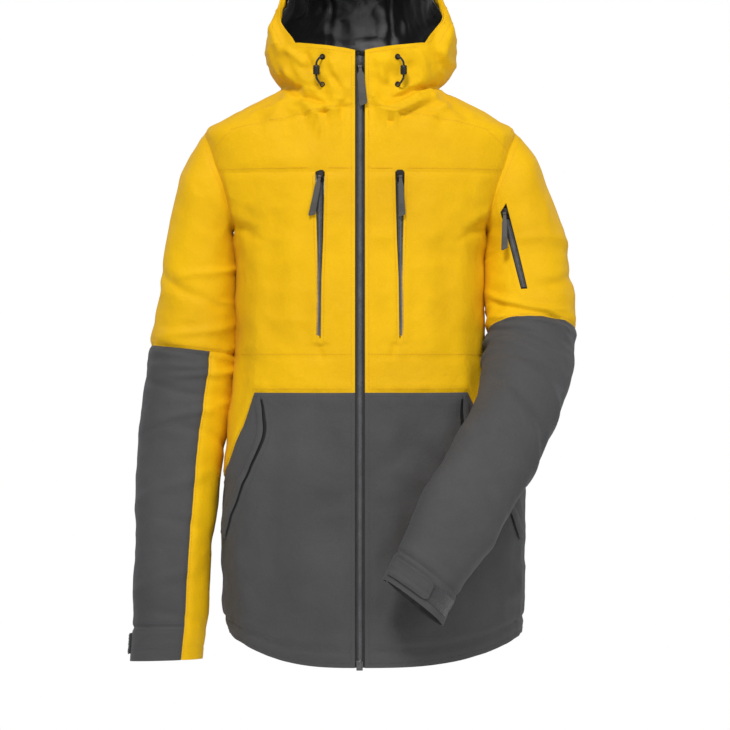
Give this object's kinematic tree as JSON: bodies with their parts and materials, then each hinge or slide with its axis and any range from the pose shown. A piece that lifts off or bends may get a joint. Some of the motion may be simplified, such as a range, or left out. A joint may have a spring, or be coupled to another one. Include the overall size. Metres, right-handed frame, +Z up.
{
  "type": "ski jacket",
  "caption": "Insulated two-colour hooded ski jacket in a worn pose, with zips, drawcords, tabbed cuffs, lining and powder skirt; sleeves, sliders and tabs move.",
  "frame": {"origin": "centre of the neck opening, at the seam where the hood's collar meets the body", "axes": "+Z up along the wearer's spine, -Y out of the chest, +X to the wearer's left"},
  "size_m": [0.5902, 0.385, 1.0767],
  "materials": {
    "yellow_shell": "matt fine plain weave, coated inside",
    "grey_shell": "matt fine plain weave, coated inside",
    "black_lining": "smooth taffeta, slight sheen",
    "wadding": "soft polyester fleece",
    "zip_tape": "woven tape with moulded coil teeth",
    "zip_metal": "dark gunmetal lacquer",
    "zip_pull": "moulded matt grip on a cord",
    "eyelet_metal": "dark gunmetal lacquer",
    "drawcord": "round elastic braid",
    "lock_plastic": "fine matt moulding",
    "webbing": "narrow woven tape"
  },
  "bodies": {
    "garment_body": {"front_yoke_right": "yellow_shell", "front_yoke_left": "yellow_shell", "back_yoke": "yellow_shell", "chest_panel_right": "yellow_shell", "chest_panel_left": "yellow_shell", "front_panel_right": "yellow_shell", "front_panel_left": "yellow_shell", "lower_front_right": "grey_shell", "lower_front_left": "grey_shell", "back_panel": "yellow_shell", "lower_back": "grey_shell", "body_lining": "black_lining", "insulation": "wadding", "collar": "yellow_shell", "collar_lining": "black_lining", "zip_tape_right": "zip_tape", "zip_tape_left": "zip_tape", "zip_box": "zip_metal", "zip_stops": "zip_metal", "storm_flap": "black_lining", "chest_zip_right": "zip_tape", "chest_zip_left": "zip_tape", "pocket_welt_right": "grey_shell", "pocket_welt_left": "grey_shell", "pocket_bags": "black_lining", "eyelets": "eyelet_metal", "hood_cord_right": "drawcord", "hood_cord_left": "drawcord", "powder_skirt": "black_lining", "hanger_loop": "webbing", "hood_side_right": "yellow_shell", "hood_side_left": "yellow_shell", "hood_centre": "yellow_shell", "hood_brim": "black_lining", "hood_lining": "black_lining"},
    "main_slider": {"main_slider": "zip_metal"},
    "main_pull": {"main_pull": "zip_pull"},
    "chest_slider_right": {"chest_slider_right": "zip_metal"},
    "chest_slider_left": {"chest_slider_left": "zip_metal"},
    "chest_pull_right": {"chest_pull_right": "zip_pull"},
    "chest_pull_left": {"chest_pull_left": "zip_pull"},
    "sleeve_right": {"sleeve_upper_right": "yellow_shell", "sleeve_lining_right": "black_lining"},
    "sleeve_left": {"sleeve_upper_left": "yellow_shell", "sleeve_lining_left": "black_lining", "sleeve_zip": "zip_tape"},
    "forearm_right": {"forearm_outer_right": "grey_shell", "forearm_inner_right": "yellow_shell", "cuff_right": "grey_shell", "forearm_lining_right": "black_lining"},
    "forearm_left": {"forearm_outer_left": "grey_shell", "forearm_inner_left": "yellow_shell", "cuff_left": "grey_shell", "forearm_lining_left": "black_lining"},
    "sleeve_slider": {"sleeve_slider": "zip_metal"},
    "sleeve_pull": {"sleeve_pull": "zip_pull"},
    "cuff_tab_right": {"cuff_tab_right": "grey_shell"},
    "cuff_tab_left": {"cuff_tab_left": "grey_shell"},
    "cord_lock_right": {"cord_lock_right": "lock_plastic"},
    "cord_lock_left": {"cord_lock_left": "lock_plastic"}
  },
  "joints": [
    {"name": "main_zip_slide", "type": "slide", "parent": "garment_body", "child": "main_slider", "axis": [0, -0.0797, -0.9968], "range_m": [-0.008, 0.762]},
    {"name": "main_pull_hinge", "type": "hinge", "parent": "main_slider", "child": "main_pull", "pos_m": [0, -0.09148, 0.02539], "axis": [-1, 0, 0], "range_deg": [0, 120]},
    {"name": "chest_zip_slide_right", "type": "slide", "parent": "garment_body", "child": "chest_slider_right", "axis": [-0.009, -0.0731, -0.9973], "range_m": [0, 0.2]},
    {"name": "chest_pull_hinge_right", "type": "hinge", "parent": "chest_slider_right", "child": "chest_pull_right", "pos_m": [-0.0526, -0.10128, -0.11864], "axis": [-0.9925, 0.1219, 0], "range_deg": [0, 120]},
    {"name": "chest_zip_slide_left", "type": "slide", "parent": "garment_body", "child": "chest_slider_left", "axis": [0.009, -0.0731, -0.9973], "range_m": [0, 0.2]},
    {"name": "chest_pull_hinge_left", "type": "hinge", "parent": "chest_slider_left", "child": "chest_pull_left", "pos_m": [0.0526, -0.10128, -0.11864], "axis": [-0.9925, -0.1219, 0], "range_deg": [0, 120]},
    {"name": "shoulder_right", "type": "hinge", "parent": "garment_body", "child": "sleeve_right", "pos_m": [-0.2098, -0.004, -0.056], "axis": [0, 1, 0], "range_deg": [0, 40]},
    {"name": "shoulder_left", "type": "hinge", "parent": "garment_body", "child": "sleeve_left", "pos_m": [0.2098, -0.004, -0.056], "axis": [0, -1, 0], "range_deg": [0, 40]},
    {"name": "elbow_right", "type": "hinge", "parent": "sleeve_right", "child": "forearm_right", "pos_m": [-0.22234, -0.05448, -0.3431], "axis": [-0.9934, 0, 0.1143], "range_deg": [0, 60]},
    {"name": "elbow_left", "type": "hinge", "parent": "sleeve_left", "child": "forearm_left", "pos_m": [0.28047, -0.00693, -0.33036], "axis": [0.4556, -0.8087, 0.372], "range_deg": [0, 35]},
    {"name": "sleeve_zip_slide", "type": "slide", "parent": "sleeve_left", "child": "sleeve_slider", "axis": [0.2372, -0.1444, -0.9607], "range_m": [0, 0.09]},
    {"name": "sleeve_pull_hinge", "type": "hinge", "parent": "sleeve_slider", "child": "sleeve_pull", "pos_m": [0.19013, -0.05567, -0.16518], "axis": [-0.9497, 0.1736, -0.2605], "range_deg": [0, 120]},
    {"name": "cuff_tab_hinge_right", "type": "hinge", "parent": "forearm_right", "child": "cuff_tab_right", "pos_m": [-0.26154, 0.00522, -0.73337], "axis": [-0.0894, -0.0927, -0.9917], "range_deg": [0, 100]},
    {"name": "cuff_tab_hinge_left", "type": "hinge", "parent": "forearm_left", "child": "cuff_tab_left", "pos_m": [0.04079, -0.21344, -0.61854], "axis": [-0.4113, -0.1126, -0.9045], "range_deg": [0, 100]},
    {"name": "cord_lock_slide_right", "type": "slide", "parent": "garment_body", "child": "cord_lock_right", "axis": [0, 0, 1], "range_m": [-0.003, 0.003]},
    {"name": "cord_lock_slide_left", "type": "slide", "parent": "garment_body", "child": "cord_lock_left", "axis": [0, 0, 1], "range_m": [-0.003, 0.003]}
  ]
}
